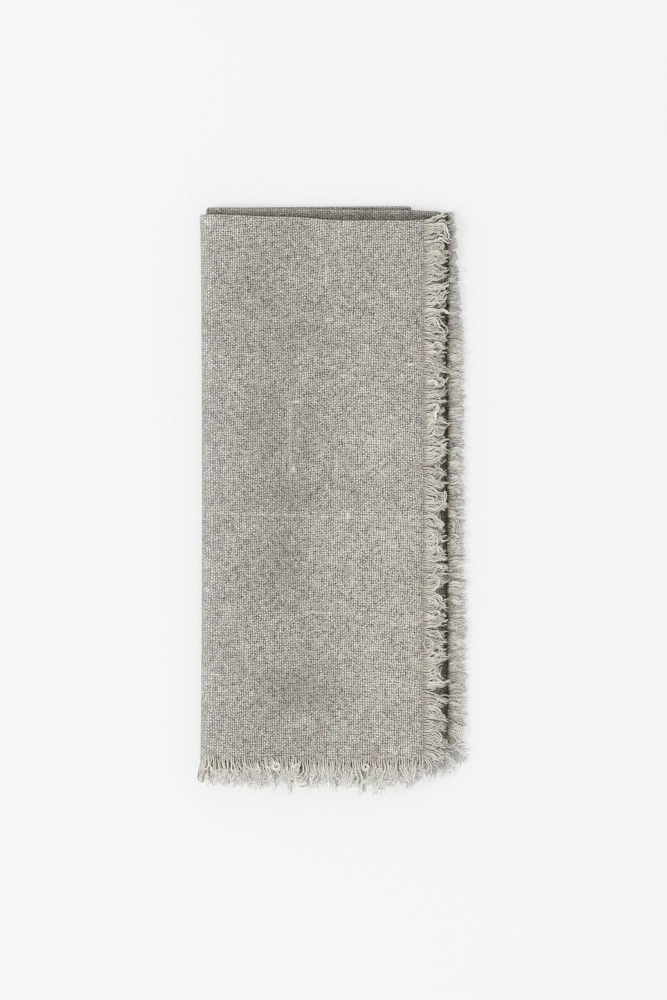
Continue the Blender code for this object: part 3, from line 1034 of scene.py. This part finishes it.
def front_reach(v):
    """The upper ply's yarns are the longer ones, longest by the top fold and shorter at the foot."""
    along = 1 - 0.2 * near(v, 5 * MM) + 0.2 * near(abs(from_fold(v)), 18 * MM)
    return (1.0 if v < PLY_RUN else 0.9) * along


def second_reach(v):
    """Shorter near the top fold, where the yarns are curled under, and longest near the foot."""
    off_fold = abs(from_fold(v))
    uncurled = 0.58 * min(off_fold / (60 * MM), 1.0)
    return 0.42 + uncurled + 0.15 * max(off_fold - 120 * MM, 0.0) / (100 * MM)


def front_fibres(v):
    return (3 if v < PLY_RUN else 1), YARN_STEPS // 2


def second_fibres(v):
    return (3 if v < PLY_RUN else 4), YARN_STEPS // 2


def side_place(root, along, u):
    """Where a point by a side edge lies: past the top fold the yarns go straight on, not round it."""
    on_ply = min(along, PLY_RUN) if from_fold(root) > 0 else max(along, CLOTH_LENGTH - PLY_RUN)
    x, y, z = folded(u, on_ply, 0.0)
    return x, y + abs(along - on_ply), z


def front_side_place(root, along, out):
    return side_place(root, along, CLOTH_WIDTH + out)


def second_side_place(root, along, out):
    return side_place(root, along, -out)


FOOT_FRAY = Fray(
    reach=FOOT_FRINGE * 1.4, ragged=0.5, span=2.6 * MM, gather=0.1, sweep=0.1, wave=0.75, waves=1.7,
    bend=0.8, rings=0.1, loft=0.5 * MM, twist=0.4, stray=0.25, radius=0.42 * MM, fluff=0.3,
    fibres=(1.5 * MM, 4.0 * MM), pale=0.35, root=2.8 * MM, shade=0.0)
FRONT_FRAY = Fray(
    reach=SIDE_FRINGE * 1.32, ragged=0.1, span=3.0 * MM, gather=0.15, sweep=0.2, wave=0.95, waves=1.9,
    bend=0.5, rings=0.12, loft=2.0 * MM, twist=2.0, stray=0.06, radius=0.36 * MM, fluff=0.15,
    fibres=(0.8 * MM, 1.8 * MM), pale=0.2, root=2.8 * MM, shade=0.0)
SECOND_FRAY = Fray(
    reach=SIDE_FRINGE * 0.98, ragged=0.05, span=3.0 * MM, gather=0.0, sweep=0.1, wave=0.55, waves=1.7,
    bend=0.3, rings=0.08, loft=1.9 * MM, twist=0.9, stray=0.04, radius=0.40 * MM, fluff=0.1,
    fibres=(0.6 * MM, 1.5 * MM), pale=0.1, root=0.6 * MM, shade=1.4)
FOOT_OUTER_EDGE = Edge(CLOTH_WIDTH, WARP_PITCH, FOOT_FRAY, foot_reach, foot_lean, foot_fibres, FOOT_RINGS,
                       foot_outer_place)
FOOT_INNER_EDGE = Edge(CLOTH_WIDTH, WARP_PITCH, FOOT_FRAY, foot_reach, foot_lean, foot_fibres, (),
                       foot_inner_place)
FRONT_SIDE_EDGE = Edge(CLOTH_LENGTH, WEFT_PITCH, FRONT_FRAY, front_reach, side_lean, front_fibres, (),
                       front_side_place)
SECOND_SIDE_EDGE = Edge(CLOTH_LENGTH, WEFT_PITCH, SECOND_FRAY, second_reach, side_lean, second_fibres, (),
                        second_side_place)

fringes = {
    "fringe_foot_outer": loose_yarns("loose_yarns_foot_outer", FOOT_OUTER_EDGE, SEED + 1),
    "fringe_foot_inner": loose_yarns("loose_yarns_foot_inner", FOOT_INNER_EDGE, SEED + 2),
    "fringe_side_front": loose_yarns("loose_yarns_side_front", FRONT_SIDE_EDGE, SEED + 3),
    "fringe_side_second": loose_yarns("loose_yarns_side_second", SECOND_SIDE_EDGE, SEED + 4),
}
for node, piece in fringes.items():
    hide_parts(node)

# The surface, the light and the camera: a pale table, an even studio sky with a soft light from the left,
# and a camera straight above with a long lens, framed as the photograph is.
TABLE_SIZE = 2.0
TABLE_FINISH = {
    "Base Color": (0.2, 0.2, 0.2, 1.0),
    "Roughness": 1.0,
    "Specular IOR Level": 0.0,
    "Emission Color": (1.0, 1.0, 1.0, 1.0),
    "Emission Strength": 0.62,
}
floor_shape = bmesh.new()
bmesh.ops.create_grid(floor_shape, x_segments=1, y_segments=1, size=TABLE_SIZE)
floor_mesh = bpy.data.meshes.new("table")
floor_shape.to_mesh(floor_mesh)
floor_shape.free()
floor = bpy.data.objects.new("table", floor_mesh)
bpy.context.scene.collection.objects.link(floor)
pale = bpy.data.materials.new("pale_table")
pale.use_nodes = True
plain_values(pale.node_tree.nodes["Principled BSDF"], TABLE_FINISH)
floor_mesh.materials.append(pale)

scene = bpy.context.scene
scene.view_settings.view_transform = "Standard"
scene.world = bpy.data.worlds.new("studio")
scene.world.use_nodes = True
plain_values(scene.world.node_tree.nodes["Background"], {"Color": (1.0, 1.0, 1.0, 1.0), "Strength": 1.0})

LIGHT_DISTANCE = 2.5
Light = namedtuple("Light", "name size watts height_angle turn")
LIGHTS = (
    Light("softbox", 0.5, 35.0, 52, 15),
    Light("window", 0.6, 6.0, 25, 10),
)
for light in LIGHTS:
    lamp_data = bpy.data.lights.new(light.name, "AREA")
    lamp_data.shape = "DISK"
    lamp_data.size = light.size
    lamp_data.energy = light.watts
    lamp = bpy.data.objects.new(light.name, lamp_data)
    up, turn = math.radians(light.height_angle), math.radians(light.turn)
    lamp.location = Vector((-math.cos(turn) * math.cos(up), -math.sin(turn) * math.cos(up), math.sin(up)))
    lamp.location *= LIGHT_DISTANCE
    lamp.rotation_euler = (-lamp.location).to_track_quat("-Z", "Y").to_euler()
    scene.collection.objects.link(lamp)

CAMERA_HEIGHT = 3.0
SENSOR = 36.0
PHOTO_LONG_SIDE = 1000
RIGHT_OF_MIDDLE = 0.25 * PIXEL
BELOW_MIDDLE = 3.75 * PIXEL
camera_data = bpy.data.cameras.new("camera")
camera_data.sensor_width = SENSOR
camera_data.lens = SENSOR * (CAMERA_HEIGHT - PILE_HEIGHT) / (PHOTO_LONG_SIDE * PIXEL)
camera = bpy.data.objects.new("camera", camera_data)
middle = (solid_low + solid_high) / 2
camera.location = (middle.x + RIGHT_OF_MIDDLE, middle.y - BELOW_MIDDLE, CAMERA_HEIGHT)
scene.collection.objects.link(camera)
scene.camera = camera
